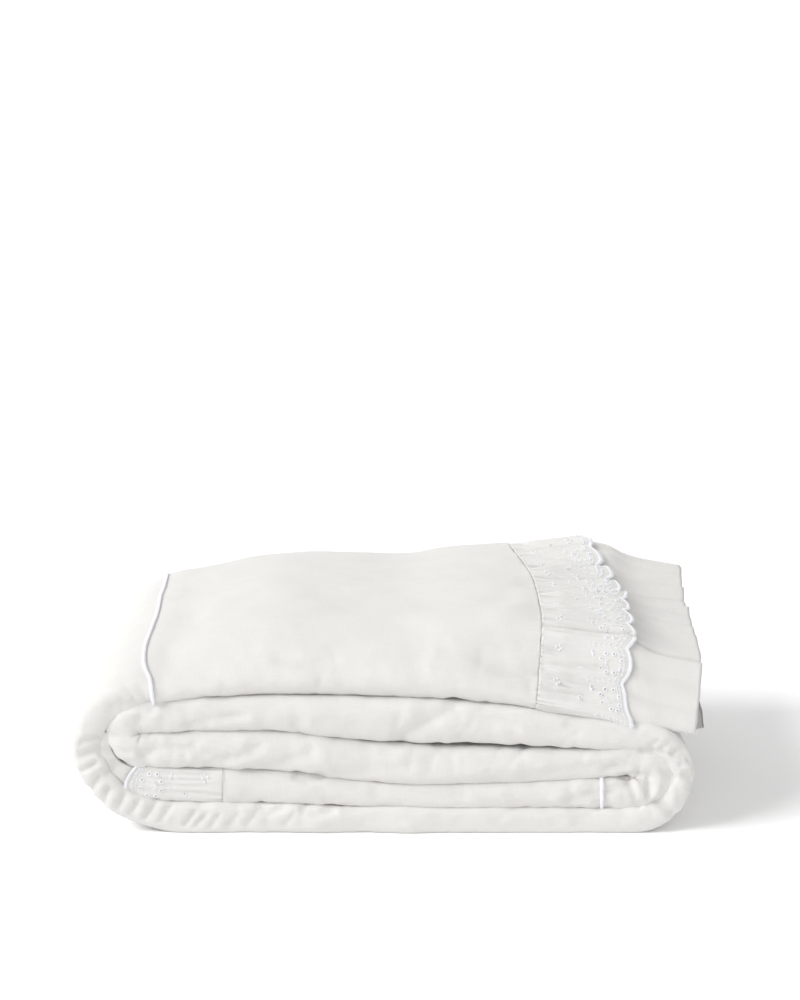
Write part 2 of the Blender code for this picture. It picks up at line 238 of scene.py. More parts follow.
def sectionAt(plan, thick, backset):
    ys, ns = [], []
    top = strip["plies"] - 1

    def height(ply):
        return thick * (ply / top - 0.5)

    def frontFold(ply):
        depth = np.minimum(strip["foldMost"], np.abs(height(ply)) * plyEnds["frontDepth"])
        stepBack = plyEnds["levelStep"] + thick / top * plyEnds["levelShare"]
        return strip["front"] + backset + min(ply, top - ply) * stepBack, depth

    def backEnd(ply):
        half = plyEnds["backRound"][ply] * thick / top
        inner = thick / top * plyEnds["innerTuck"] if ply in (1, 2) else 0.0 * thick
        return strip["back"] - half - inner - (plyEnds["looseEdge"] if ply == 6 else 0.0)

    for kind, ply, other, count in plan:
        if kind == "leg":
            tip, depth = frontFold(ply)
            t = np.linspace(0, 1, count)[None, :]
            if other < 0:
                t = 1 - t
            start, end = tip + depth, backEnd(ply)
            ys.append(start + (end - start) * t)
            ns.append(height(ply) + 0 * t)
        else:
            angle = np.linspace(0, math.pi, count + 2)[None, 1:-1]
            low, high = height(ply), height(other)
            ns.append((low + high) / 2 - (high - low) / 2 * np.cos(angle))
            if kind == "front":
                tip, depth = frontFold(ply)
                ys.append(tip + depth * (1 - np.sin(angle) ** plyEnds["frontRound"]))
            else:
                end = backEnd(ply)
                ys.append(end + np.abs(high - low) / 2 * np.sin(angle))
    return np.concatenate(ys, axis=1), np.concatenate(ns, axis=1)


def columnKinds(plan):
    kinds = []
    for kind, ply, _, count in plan:
        outer = (kind == "leg" and ply in (0, 7)) or (kind == "front" and ply == 7)
        kinds += [(1.0 if outer else 0.0, ply if kind == "leg" else -1)] * count
    return np.array(kinds)


# Distance across the cloth from its outer edge, taken where a run is 30 mm thick.
def acrossCloth(plan):
    y, n = sectionAt(plan, np.array([[0.030]]), np.array([[0.002]]))
    return np.concatenate(([0.0], np.cumsum(np.hypot(np.diff(y[0]), np.diff(n[0])))))


# How the seams and the outer cord stray from a straight line across the strip, in metres.
sway = {
    "seamFrom": 0.02, "seamCurve": 1.4, "cordFrom": -0.02, "cordBack": 0.009, "cordFront": 0.008,
    "cordFrontWidth": 0.020, "cordFades": 0.10, "seamFades": 0.12,
}


def nearFront(y, width):
    return bell(y, strip["front"], width)


def towardBack(y, start):
    return unit((y - start) / (strip["back"] - start))


def seamLean(y):
    return strip["seamLean"] * towardBack(y, sway["seamFrom"]) ** sway["seamCurve"]


def edgeLean(y):
    return strip["edgeLean"] * towardBack(y, strip["front"])


def cordLean(s, y):
    back = sway["cordBack"] * towardBack(y, sway["cordFrom"])
    front = sway["cordFront"] * nearFront(y, sway["cordFrontWidth"])
    return (back - front) * unit(1 - np.abs(s - cordOuter) / sway["cordFades"])


def cuffLean(s, y):
    return seamLean(y) * unit(1 - (s - seamOuter) / sway["seamFades"]) + cordLean(s, y)


# How far in from the front and back the thickness of the strip changes, in metres.
swelling = {"front": 0.046, "back": 0.060, "pastTop": 0.12, "puffs": 0.055, "frontGain": 0.0042}


def swell(s, y):
    topRun = np.interp(s, (topEnd, topEnd + swelling["pastTop"]), (1.0, 0.0))
    front = np.interp(s - seamOuter, *zip(*frontSlope)) * nearFront(y, swelling["front"])
    back = np.interp(s, *zip(*backLift)) * bell(y, strip["back"], swelling["back"])
    return 1 - topRun * front + back


def turnMiddle(name):
    following = list(runs)[list(runs).index(name) + 1]
    return (distanceWhere(runs[name][1], name) + distanceWhere(runs[following][0], following)) / 2


# Along the front the runs press on each other, and the turns fill the hollows between them.
frontPuffs = (
    # distance, half length, then how far the ply 0 side and the ply 7 side move out (mm)
    (topEnd + 0.045, 0.050, 9.0, 0.0),
    (turnMiddle("top") + 0.030, 0.060, 6.0, 0.0),
    (distanceWhere(-0.160, "bottom"), 0.060, 4.0, 0.0),
    (turnMiddle("bottom"), 0.062, 2.0, 0.0),
    (0.0, 0.060, 7.0, 0.0),
    (0.055, 0.032, 6.0, 0.0),
    (turnMiddle("second"), 0.030, 2.5, 3.0),
    (turnMiddle("third"), 0.036, 9.0, 1.0),
    (turnMiddle("third") - 0.002, 0.018, 5.0, 0.0),
    (seamInner + 0.035, 0.035, 2.0, 0.0),
    (seamInner + 0.085, 0.045, 4.5, 2.0),
    (seamInner + 0.125, 0.030, 3.0, 4.0),
)


def puffed(s, y, n, thick):
    front = nearFront(y, swelling["puffs"])
    half = thick / 2
    out = n * (1 + swelling["frontGain"] * front / thick)
    for at, size, plyZero, plySeven in frontPuffs:
        near = front * bell(s, at, size) * mm
        out += near * (plySeven * unit(n / half) - plyZero * unit(-n / half))
    return out


def middleAt(s):
    heading = np.interp(s, fine, headingLine)
    return np.interp(s, fine, smoothLine[0]), np.interp(s, fine, smoothLine[1]), heading


def normalsOf(points):
    along, across = np.gradient(points, axis=0), np.gradient(points, axis=1)
    normal = np.cross(along, across)
    return normal / np.maximum(np.linalg.norm(normal, axis=2, keepdims=True), 1e-12)


# Soft troughs (minus) and ridges (plus) seen along the front, in mm: width, depth, then x and z of
# each point of the crease. X and z are measured from the middle of the floor under the bundle.
frontCreases = (
    (7.0, -2.6, 1, 92, 26, 108, 51, 122), (6.0, -1.2, -215, 122, -190, 118, -150, 117),
    (8.0, 1.3, -100, 121, -40, 116, 10, 119), (5.0, -1.6, -195, 104, -170, 112, -140, 116),
    (7.0, -1.5, 60, 116, 110, 108, 150, 96), (6.0, -1.4, 160, 108, 205, 98, 240, 90),
    (6.0, 1.2, 95, 102, 150, 92, 200, 88), (5.5, -2.2, -236, 78, -214, 84, -190, 82, -160, 74),
    (5.0, -1.8, -180, 66, -150, 74, -128, 86), (6.0, -1.6, -140, 62, -110, 68, -80, 80),
    (7.0, -1.4, -60, 58, -20, 62, 30, 72), (6.0, 1.1, 20, 54, 60, 58, 110, 64),
    (6.0, -1.5, 120, 56, 160, 62, 205, 66), (5.0, -1.9, 200, 66, 232, 60, 248, 46),
    (5.0, -3.2, -95, 55, -84, 52, -72, 56), (6.0, -1.3, -20, 44, 20, 38, 60, 38),
    (6.0, 1.0, 70, 44, 110, 36, 150, 34), (5.0, -1.7, 160, 32, 185, 40, 215, 46),
    (4.5, -2.4, -128, 25, -120, 20, -108, 24), (4.5, -2.2, -86, 24, -76, 19, -62, 22),
    (4.0, -1.5, -270, 60, -262, 66, -250, 70), (4.0, -1.6, -276, 78, -262, 80, -250, 80),
    (4.0, -1.5, -272, 42, -258, 44, -246, 40), (4.0, -1.3, -268, 98, -256, 92, -246, 88),
    (5.0, -2.0, 250, 86, 262, 80, 272, 70), (5.0, -1.7, 262, 88, 274, 74, 280, 60),
    (5.0, -1.9, 268, 60, 276, 46, 274, 34), (4.5, -1.8, 252, 54, 262, 42, 264, 30),
    (5.0, -1.9, -262, 124, -246, 126, -228, 122), (4.5, 1.4, -256, 114, -240, 118, -226, 116),
    (7.0, -1.0, -205, 14, -150, 10, -90, 12), (7.0, -0.9, -60, 9, 0, 13, 70, 10),
    (7.0, -1.0, 80, 12, 140, 8, 190, 12),
    # radial creases on the inner side of the left turn
    (3.2, -2.4, -292, 90, -277, 94), (3.2, -2.4, -294, 77, -279, 83),
    (3.2, -2.6, -295, 61, -282, 69), (3.2, -2.8, -288, 41, -278, 55),
    (3.0, 1.4, -290, 69, -279, 76),
    # slanting puckers along the upper edge of the bottom run
    (3.0, -2.4, -275, 30, -269, 46), (3.0, -2.3, -262, 25, -255, 38),
    (3.0, -2.2, -249, 21, -241, 33), (3.0, -2.4, -237, 15, -226, 30),
    (3.0, -2.0, -221, 13, -212, 27), (2.8, -2.2, -199, 9, -190, 21),
    (2.6, -2.0, -188, 9, -179, 19), (2.6, -1.7, -174, 8, -168, 18),
    (3.0, -1.6, -158, 8, -150, 19), (3.0, -1.6, -141, 9, -134, 19),
    (3.0, -1.5, -106, 9, -98, 19),
    # the folds caught in the right inner turn
    (3.2, -3.0, 208, 55, 220, 57, 232, 56), (2.6, -2.8, 213, 52, 218, 42, 224, 27),
    (2.6, 1.5, 221, 50, 226, 40, 229, 28), (2.6, -2.4, 232, 54, 233, 44, 232, 34),
    (3.4, 1.8, 243, 52, 241, 42, 236, 32), (2.6, -2.0, 246, 60, 256, 54),
    # and on the outer right turn
    (2.8, -2.6, 225, 80, 246, 79, 262, 74), (2.6, -1.8, 235, 84, 240, 91),
    (2.6, -2.0, 243, 83, 250, 90), (2.6, -2.1, 254, 77, 262, 85),
    (2.6, -1.9, 262, 67, 270, 71), (2.6, -1.7, 265, 57, 274, 59),
    (2.8, -1.8, 268, 40, 275, 44), (3.6, -4.5, 240, 31, 248, 26, 257, 18),
)

# The same on the top panel, with x and y of each point.
topCreases = (
    (14.0, -1.6, -130, -118, -60, -122, 20, -114),
    (7.0, -2.4, -110, -146, -85, -150, -60, -146),
    (7.0, -2.2, 78, -142, 110, -148, 135, -140),
    (22.0, -1.5, -190, -60, -90, -52, 30, -58, 120, -50),
    (24.0, 1.4, -180, 8, -80, 20, 40, 10, 110, 16),
    (24.0, -1.4, -170, 78, -60, 92, 60, 84),
    (16.0, -1.2, -214, -120, -205, -60, -196, 0),
    (14.0, 1.3, 100, -96, 118, -70, 128, -20),
    (16.0, 1.2, -20, -86, 50, -92, 112, -84),
)


def nearLine(across, up, points):
    best = np.full(across.shape, 1e3)
    for (ax, ay), (bx, by) in zip(points, points[1:]):
        dx, dy = bx - ax, by - ay
        t = unit(((across - ax) * dx + (up - ay) * dy) / (dx * dx + dy * dy))
        best = np.minimum(best, np.hypot(across - ax - t * dx, up - ay - t * dy))
    return best


# Where each table works: gain and offset of the cloth's tilt, then its limit in y or z.
frontZone = (1.6, 0.5, strip["front"] + 0.045)
topZone = (1.8, -0.4, 0.150)


def creased(x, y, z, normal):
    facing = unit(-normal[..., 1] * frontZone[0] + frontZone[1]) * (y < frontZone[2])
    upward = unit(normal[..., 2] * topZone[0] + topZone[1]) * (z > topZone[2])
    out = np.zeros(x.shape)
    for chart, table, other in ((facing, frontCreases, z), (upward, topCreases, y)):
        for width, depth, *points in table:
            near = nearLine(x / mm, other / mm, list(zip(points[::2], points[1::2])))
            out += chart * depth * mm * bell(near, 0, width)
    return out


def waves(seed, pitches, count):
    draw = random.Random(seed)
    out = []
    for _ in range(count):
        angle = draw.uniform(0, math.pi)
        pitch = draw.uniform(*pitches)
        out.append((math.cos(angle) / pitch, math.sin(angle) / pitch, draw.uniform(0, 1)))
    return out


# Heights of the waves in metres: everywhere, and what is added along the front folds.
drapes = {
    "soft": 0.0006, "crumple": (0.00008, 0.00022), "tiny": (0.00003, 0.00006), "foldMiddle": 0.350,
    "foldWidth": 0.045, "hiddenPlies": 0.55,
}
softWaves = waves(11, (0.045, 0.110), 9)
crumpleWaves = waves(12, (0.016, 0.034), 14)
tinyWaves = waves(13, (0.006, 0.012), 16)


def rippled(s, w, table):
    out = np.zeros(np.broadcast(s, w).shape)
    for a, b, phase in table:
        out += np.sin(2 * math.pi * (a * s + b * w + phase))
    return out / math.sqrt(len(table))


# Short puckers across the creases between the runs, and fans of them round the turns.
puckers = {
    "count": 260,
    "length": (0.010, 0.022),
    "width": (0.0024, 0.0040),
    "depth": (0.0004, 0.0010),
    "edges": (0.334, 0.366, 0.352),  # across the cloth: upper edge, lower edge, middle
    "stray": (0.045, 0.006, 0.55),  # along the strip, across it, and in turn
    "seed": 5,
}


def puckerTable():
    draw = random.Random(puckers["seed"])
    alongStray, acrossStray, turnStray = puckers["stray"]
    turnAt = [turnMiddle(n) for n in ("top", "bottom", "second", "third")]
    table = []
    for i in range(puckers["count"]):
        s = draw.uniform(seamOuter, seamInner)
        if i % 3 == 0:
            s = draw.choice(turnAt) + draw.gauss(0, alongStray)
        if s < topEnd - 0.02 and i % 4:
            continue
        w = puckers["edges"][i % 3] + draw.gauss(0, acrossStray)
        angle = math.pi / 2 + draw.gauss(0, turnStray)
        size = draw.uniform(*puckers["length"])
        table.append((s, w, math.cos(angle), math.sin(angle), size,
                      draw.uniform(*puckers["width"]), draw.uniform(*puckers["depth"])))
    return table


puckerRows = puckerTable()


def puckered(s, w):
    out = np.zeros(s.shape)
    for at, across, c, d, size, width, depth in puckerRows:
        rows = np.abs(s[:, 0] - at) < size + 0.03
        if not rows.any():
            continue
        ds, dw = s[rows] - at, w - across
        along, off = ds * c + dw * d, -ds * d + dw * c
        out[rows] -= depth * np.exp(-((along / size) ** 2) - (off / width) ** 2)
    return out


def gatherPhase(w, pitch, seed, wander):
    phase = w / pitch
    for k, (a, _, p) in enumerate(waves(seed, (pitch * 3, pitch * 9), 5)):
        phase = phase + wander * np.sin(2 * math.pi * (w * a + p)) / (1 + 0.3 * k)
    return phase


def ridges(w, pitch, seed, wander, power):
    return 2 * np.abs(np.sin(math.pi * gatherPhase(w, pitch, seed, wander))) ** power - 1


# Gathers below a ruffle seam: fine ones by the seam, wider ones further down (metres).
gathering = {  # height, pitch, seed, wander, sharpness
    "small": (0.0012, 0.0052, 31, 0.45, 0.9),
    "middle": (0.0017, 0.0130, 32, 0.60, 1.1),
    "large": (0.0008, 0.037, 33, 0.55, 1.3),
    "smallAt": (0.003, 0.016),
    "middleAt": (0.022, 0.042),
    "largeFrom": 0.07,
    "innerScale": 0.55,
}


def gathers(d, run, scale):
    grown = {
        "small": bell(d, *gathering["smallAt"]),
        "middle": unit(d / gathering["middleAt"][0]) * bell(d, *gathering["middleAt"]),
        "large": unit(d / gathering["largeFrom"]),
    }
    total = 0.0
    for key, part in grown.items():
        height, *shape = gathering[key]
        total = total + height * part * ridges(run, *shape)
    return scale * total


# The deep pleats of the outer ruffle: a narrow valley, then a fold that rises sharply and falls away.
pleats = (
    # at seam, at free edge, depth, fold height, fall, runs out at   (mm, from the back edge)
    (40, 8, 3.0, 3.0, 22, 400),
    (95, 57, 4.5, 6.0, 26, 400),
    (132, 90, 3.2, 2.2, 16, 400),
    (190, 121, 6.0, 8.0, 34, 400),
    (236, 226, 3.6, 2.6, 14, 54),
    (270, 271, 5.0, 4.4, 24, 400),
    (311, 306, 4.2, 3.0, 16, 80),
    (340, 336, 2.8, 1.8, 12, 62),
)
pleatValley, pleatRise = 3.0, 1.8
pleatStart, pleatFade = 0.020, 0.02


def pleated(d, run):
    part = unit(d / strip["plainLength"])
    grown = unit(d / pleatStart) * (0.75 + 0.25 * part)
    out = np.zeros(run.shape)
    for atSeam, atEdge, depth, height, fall, until in pleats:
        middle = (atSeam + (atEdge - atSeam) * part) * mm
        left = unit((until * mm - d) / pleatFade)
        off = (run - middle) / mm
        rise = 0.5 + 0.5 * np.tanh((off - pleatRise) / pleatRise)
        out += left * height * mm * rise * np.exp(-np.maximum(off, 0) / fall)
        out -= left * depth * mm * bell(off, 0, pleatValley)
    return out * grown


def layCloth(rowS, plan, lean=None, inset=0.0, extra=None, rough=1.0):
    s = np.asarray(rowS, float)[:, None]
    full = np.interp(s, fine, smoothLine[2])
    backset = np.interp(s, fine, smoothLine[3]) + inset
    y, n = sectionAt(plan, full - 2 * inset, backset)
    w = acrossCloth(plan)[None, :]
    at = s + (lean(s, y) if lean else 0.0 * y)
    at = np.clip(at, 0, fine[-1])
    n = -full / 2 + (n + full / 2) * swell(at, y)
    n = puffed(at, y, n, full)
    x, z, heading = middleAt(at)
    points = np.stack((x + n * np.sin(heading), y, z - n * np.cos(heading)), axis=2)
    steps = np.linalg.norm(np.diff(points, axis=1), axis=2)
    run = np.concatenate((np.zeros((len(steps), 1)), np.cumsum(steps, axis=1)), axis=1)
    normal = normalsOf(points) * (1 if s[-1, 0] > s[0, 0] else -1)
    kinds = columnKinds(plan)
    soft = np.where(kinds[:, 0] > 0, 1.0, drapes["hiddenPlies"])[None, :]
    lift = creased(points[..., 0] + shiftX, y, points[..., 2], normal) * soft
    fold = bell(w, drapes["foldMiddle"], drapes["foldWidth"])
    drape = drapes["soft"] * rippled(at, w, softWaves)
    for key, table in (("crumple", crumpleWaves), ("tiny", tinyWaves)):
        everywhere, atFold = drapes[key]
        drape += (everywhere + atFold * fold) * rippled(at, w, table)
    lift += rough * soft * (drape + puckered(at + 0 * w, w))
    if extra:
        lift += extra(s, run, kinds)
    points += normal * lift[..., None]
    points[..., 0] += shiftX
    points[..., 1] += shiftY
    points[..., 2] = np.maximum(points[..., 2], 0.0002)
    return points, at, run


def inScene(name, data):
    thing = bpy.data.objects.new(name, data)
    bpy.context.scene.collection.objects.link(thing)
    return thing


def gridMesh(name, points, s, w, material):
    rows, cols = points.shape[:2]
    index = np.arange(rows * cols).reshape(rows, cols)
    quads = np.stack((index[:-1, :-1], index[1:, :-1], index[1:, 1:], index[:-1, 1:]), axis=-1)
    mesh = bpy.data.meshes.new(name)
    mesh.from_pydata(points.reshape(-1, 3).tolist(), [], quads.reshape(-1, 4).tolist())
    flat = np.stack((s, w), axis=-1).reshape(-1, 2)
    loops = np.empty(len(mesh.loops), int)
    mesh.loops.foreach_get("vertex_index", loops)
    layer = mesh.uv_layers.new(name="cloth")
    layer.data.foreach_set("uv", flat[loops].astype(np.float32).ravel())
    mesh.shade_smooth()
    mesh.materials.append(material)
    return inScene(name, mesh)


# Nodes: an input that is given another node's output is linked, any other is set.
def addNode(tree, kind, inputs=None, **settings):
    node = tree.nodes.new(kind)
    for label, value in settings.items():
        setattr(node, label, value)
    for label, value in (inputs or {}).items():
        if isinstance(value, bpy.types.NodeSocket):
            tree.links.new(value, node.inputs[label])
        else:
            node.inputs[label].default_value = value
    return node


def openSockets(tree, sockets):
    for way, kind, labels in sockets:
        for label in labels:
            tree.interface.new_socket(label, in_out=way, socket_type="NodeSocket" + kind)
    return tree.nodes.new("NodeGroupInput"), tree.nodes.new("NodeGroupOutput")


def mathNode(tree, operation, *values):
    return addNode(tree, "ShaderNodeMath", dict(enumerate(values)), operation=operation).outputs[0]


def noiseNode(tree, vector, scale, detail, stretch=None):
    if stretch:
        longer = addNode(tree, "ShaderNodeVectorMath", {0: vector, 1: stretch}, operation="MULTIPLY")
        vector = longer.outputs[0]
    noise = addNode(tree, "ShaderNodeTexNoise", {"Vector": vector, "Scale": scale, "Detail": detail})
    return noise.outputs["Fac"]


def linenWeave():
    group = bpy.data.node_groups.new("linenWeave", "ShaderNodeTree")
    given, out = openSockets(group, (
        ("INPUT", "Vector", ("Cloth",)),
        ("INPUT", "Float", ("Thread pitch", "Slubs")),
        ("OUTPUT", "Float", ("Height", "Slub", "Mottle")),
    ))
    cloth = given.outputs["Cloth"]
    split = addNode(group, "ShaderNodeSeparateXYZ", {0: cloth})
    turns = mathNode(group, "DIVIDE", 2 * math.pi, given.outputs["Thread pitch"])
    warp, weft = (
        mathNode(group, "SINE", mathNode(group, "MULTIPLY", split.outputs[k], turns)) for k in (0, 1)
    )
    weave = mathNode(group, "MULTIPLY", warp, weft)
    slubs = (noiseNode(group, cloth, 1.0, 2, way) for way in ((60, 1400, 1), (1400, 60, 1)))
    slub = mathNode(group, "MAXIMUM", *slubs)
    strength = mathNode(group, "MULTIPLY", slub, given.outputs["Slubs"])
    height = mathNode(group, "ADD", mathNode(group, "MULTIPLY", weave, 0.35), strength)
    made = {"Height": height, "Slub": slub, "Mottle": noiseNode(group, cloth, 38.0, 3)}
    for label, socket in made.items():
        group.links.new(socket, out.inputs[label])
    return group


weaveGroup = linenWeave()

finishes = {  # two tones between which slubs and mottling move, and the surface's values
    "linen": {"tone": (0.758, 0.749, 0.730), "deep": (0.668, 0.653, 0.624), "rough": 0.92,
              "pitch": 0.0008, "slubs": 0.9, "bump": 0.55, "sheen": 0.12},
    "laceCloth": {"tone": (0.772, 0.764, 0.746), "deep": (0.690, 0.678, 0.652), "rough": 0.88,
                  "pitch": 0.0006, "slubs": 0.6, "bump": 0.50, "sheen": 0.15},
}


def newMaterial(name, values):
    material = bpy.data.materials.new(name)
    material.use_nodes = True
    shader = material.node_tree.nodes["Principled BSDF"]
    for label, value in values.items():
        shader.inputs[label].default_value = value
    return material, material.node_tree, shader


def tonesAndBump(tree, shader, share, tone, deep, height, strength, distance):
    tones = {"A": (*tone, 1), "B": (*deep, 1), "Factor": share}
    mix = addNode(tree, "ShaderNodeMix", tones, data_type="RGBA")
    tree.links.new(mix.outputs["Result"], shader.inputs["Base Color"])
    bump = addNode(tree, "ShaderNodeBump", {"Strength": strength, "Distance": distance, "Height": height})
    tree.links.new(bump.outputs[0], shader.inputs["Normal"])


def clothMaterial(name, look):
    material, tree, shader = newMaterial(name, {
        "Roughness": look["rough"],
        "Sheen Weight": look["sheen"],
        "Sheen Roughness": 0.6,
        "Specular IOR Level": 0.25,
    })
    flat = addNode(tree, "ShaderNodeUVMap", uv_map="cloth")
    inputs = {"Thread pitch": look["pitch"], "Slubs": look["slubs"], "Cloth": flat.outputs[0]}
    weave = addNode(tree, "ShaderNodeGroup", inputs, node_tree=weaveGroup)
    slub = {"Value": weave.outputs["Slub"], "From Min": 0.45, "From Max": 0.85}
    share = mathNode(tree, "MULTIPLY", addNode(tree, "ShaderNodeMapRange", slub).outputs[0], 0.55)
    share = mathNode(tree, "ADD", share, mathNode(tree, "MULTIPLY", weave.outputs["Mottle"], 0.40))
    height = weave.outputs["Height"]
    tonesAndBump(tree, shader, share, look["tone"], look["deep"], height, look["bump"], 0.0005)
    return material


linen = clothMaterial("naturalLinen", finishes["linen"])
laceCloth = clothMaterial("laceGroundCloth", finishes["laceCloth"])
print("materials made")


def rowsBetween(start, end, step):
    return np.linspace(start, end, max(2, int(round(abs(end - start) / step)) + 1))


# Rows close together by a seam, then even ones from the last of these on.
seamRows = (0.0, 0.0005, 0.0010, 0.0017, 0.0028)


def rowsFromSeam(seam, end, step):
    away = 1 if end > seam else -1
    close = seam + away * np.array(seamRows[:-1])
    return np.concatenate((close, rowsBetween(seam + away * seamRows[-1], end, step)))


def clothPiece(name, node, points, s, w, material):
    piece = gridMesh(name, points, s, w, material)
    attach(piece, "root")
    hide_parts(node)
    print(name, len(piece.data.polygons), "faces")
    return piece


# Body and cuffs: spacing of the rows, and points along the top and under plies and their folds.
clothPieces = {
    "body": {"step": 0.0026, "plan": (40, 32, 10, 5, 5, 3)},
    "outerCuff": {"step": 0.0028, "plan": (110, 32, 16, 8, 8, 4)},
    "innerCuff": {"step": 0.0024, "plan": (30, 32, 16, 7, 8, 4)},
}


# The seam of the outer ruffle: small teeth and a narrow furrow, in metres.
seamLine = {"tooth": 0.0006, "teeth": (0.0048, 31, 0.35, 0.7), "toothWidth": 0.005,
            "furrow": 0.0010, "furrowWidth": 0.0007}


def seamDip(s, w, _):
    fromSeam = s - seamOuter
    teeth = seamLine["tooth"] * ridges(w, *seamLine["teeth"])
    teeth = teeth * bell(fromSeam, 0, seamLine["toothWidth"])
    return teeth - seamLine["furrow"] * bell(fromSeam, 0, seamLine["furrowWidth"])


underCord = strip["cordWidth"] / 2 * 0.6  # the cord hides this much of the cloth's edge


def makeStrip(name, node, start, end, look, lean=None, extra=None):
    plan = foldPlan(*look["plan"])
    rows = rowsFromSeam(start, end, look["step"]) if extra else rowsBetween(start, end, look["step"])
    points, s, w = layCloth(rows, plan, lean, 0.0, extra)
    return clothPiece(name, node, points, s, w, linen)


body = makeStrip("bodyCloth", "sheet_body", cordOuter + underCord, cordInner - underCord,
                 clothPieces["body"], cordLean)
outerCuff = makeStrip("outerCuffCloth", "cuff_outer", seamOuter, cordOuter - underCord,
                      clothPieces["outerCuff"], cuffLean, seamDip)
innerCuff = makeStrip("innerCuffCloth", "cuff_inner", cordInner + underCord, seamInner,
                      clothPieces["innerCuff"])


# Gathered tiers.
tiers = {
    "outerPlain": {"node": "plain_ruffle_outer", "length": strip["plainLength"], "inset": 0.0036,
                   "step": 0.0030, "plan": (240, 46, 120, 110, 16, 6)},
    "outerLace": {"node": "lace_ruffle_outer", "length": strip["laceLength"], "inset": 0.0,
                  "step": 0.0022, "plan": (260, 50, 90, 60, 12, 5)},
    "innerPlain": {"node": "plain_ruffle_inner", "length": strip["innerPlain"], "inset": 0.0028,
                   "step": 0.0034, "plan": (90, 34, 90, 40, 10, 5)},
    "innerLace": {"node": "lace_ruffle_inner", "length": strip["laceLength"] + 0.005, "inset": 0.0,
                  "step": 0.0024, "plan": (90, 44, 90, 40, 10, 5), "scallopShift": 0.004},
}
# Distances along the tier's edge and how far things reach, in metres.
fit = {
    "stretch": 1.6, "stretchFrom": 0.28, "stretchOver": 0.10,
    "corner": 0.018, "cornerAt": 0.363, "cornerWidth": 0.013,
    "hiddenGathers": 0.3, "seamSink": 0.0007, "seamSinkWidth": 0.0008, "waviness": 0.6,
    "lowestReach": 0.011, "lowestFrom": 0.345, "lowestOver": 0.03,
    "start": -0.0006,
}
hemTurns = ((0.0010, 0.0), (0.0012, 0.0016), (0.0009, 0.0050))  # drop, way back from the edge


def scallop(w):
    return strip["scallopDepth"] * np.abs(np.sin(math.pi * w / strip["scallopPitch"])) ** 0.8


def layTier(look, outer, lace, distances):
    seam, away = (seamOuter, -1) if outer else (seamInner, 1)
    length = look["length"]
    plan = foldPlan(*look["plan"])
    rowS = seam + away * distances

    def straight(s, y):
        d = away * (s - seam)
        out = unit((d - strip["laceLength"]) / (strip["plainLength"] - strip["laceLength"]))
        return (seamLean(y) * (1 - out) - edgeLean(y) * out) if outer else 0.0 * y

    run = layCloth(rowS, plan, straight, look["inset"], None, 0.0)[2]
    # the inset tier has the shorter way round the front, so its run is stretched to keep in step
    past = unit((run - fit["stretchFrom"]) / fit["stretchOver"])
    run = run + look["inset"] * fit["stretch"] * past
    edgeRun = run[-1:] + look.get("scallopShift", 0.0)

    def lean(s, y):
        d = away * (s - seam)
        if not lace:
            return straight(s, y)
        corner = 0.0
        if outer:
            corner = fit["corner"] * bell(edgeRun, fit["cornerAt"], fit["cornerWidth"])
        return straight(s, y) + away * (scallop(edgeRun) + corner) * d / length

    def extra(s, _, kinds):
        d = away * (s - seam)
        hidden = np.where(kinds[:, 0] > 0, 1.0, fit["hiddenGathers"])[None, :]
        lift = gathers(d, run, 1.0 if outer else gathering["innerScale"])
        if outer:
            lift += pleated(d, run)
        return lift * hidden - fit["seamSink"] * bell(d, 0, fit["seamSinkWidth"])

    points, at, _ = layCloth(rowS, plan, lean, look["inset"], extra, fit["waviness"])
    if outer and not lace:  # the lowest layer reaches out beyond the top one
        lowest = unit((run - fit["lowestFrom"]) / fit["lowestOver"])
        lowest = lowest * (columnKinds(plan)[:, 1] == 0)[None, :]
        points[..., 0] += fit["lowestReach"] * lowest * (distances / length)[:, None] ** 2
    return points, at, run


class LaceSurface:
    def __init__(self, points, flatW, distances, outer):
        self.points, self.normal = points, normalsOf(points)
        self.flatW, self.distances, self.length = flatW, distances, distances[-1]
        self.cols = points.shape[1]
        if outer:
            self.normal = -self.normal

    def at(self, across, away):
        r = np.interp(away, self.distances, np.arange(len(self.distances)))
        c = np.clip(np.interp(across, self.flatW, np.arange(self.cols)), 0, self.cols - 1.001)
        i, j = min(int(r), len(self.distances) - 2), int(c)
        a, b = r - i, c - j
        corner = ((i, j, (1 - a) * (1 - b)), (i + 1, j, a * (1 - b)),
                  (i, j + 1, (1 - a) * b), (i + 1, j + 1, a * b))
        place = sum(self.points[m, n] * share for m, n, share in corner)
        normal = sum(self.normal[m, n] * share for m, n, share in corner)
        return Vector(place), Vector(normal).normalized()

    def spot(self, across, away, angle, size, rise=0.0003):
        place, normal = self.at(across, away)
        right, up = 0.0012 * math.cos(angle), 0.0012 * math.sin(angle)
        along = self.at(across + right, away + up)[0] - self.at(across - right, away - up)[0]
        if along.length < 1e-7:
            along = normal.orthogonal()
        return place + normal * rise, along, normal, size


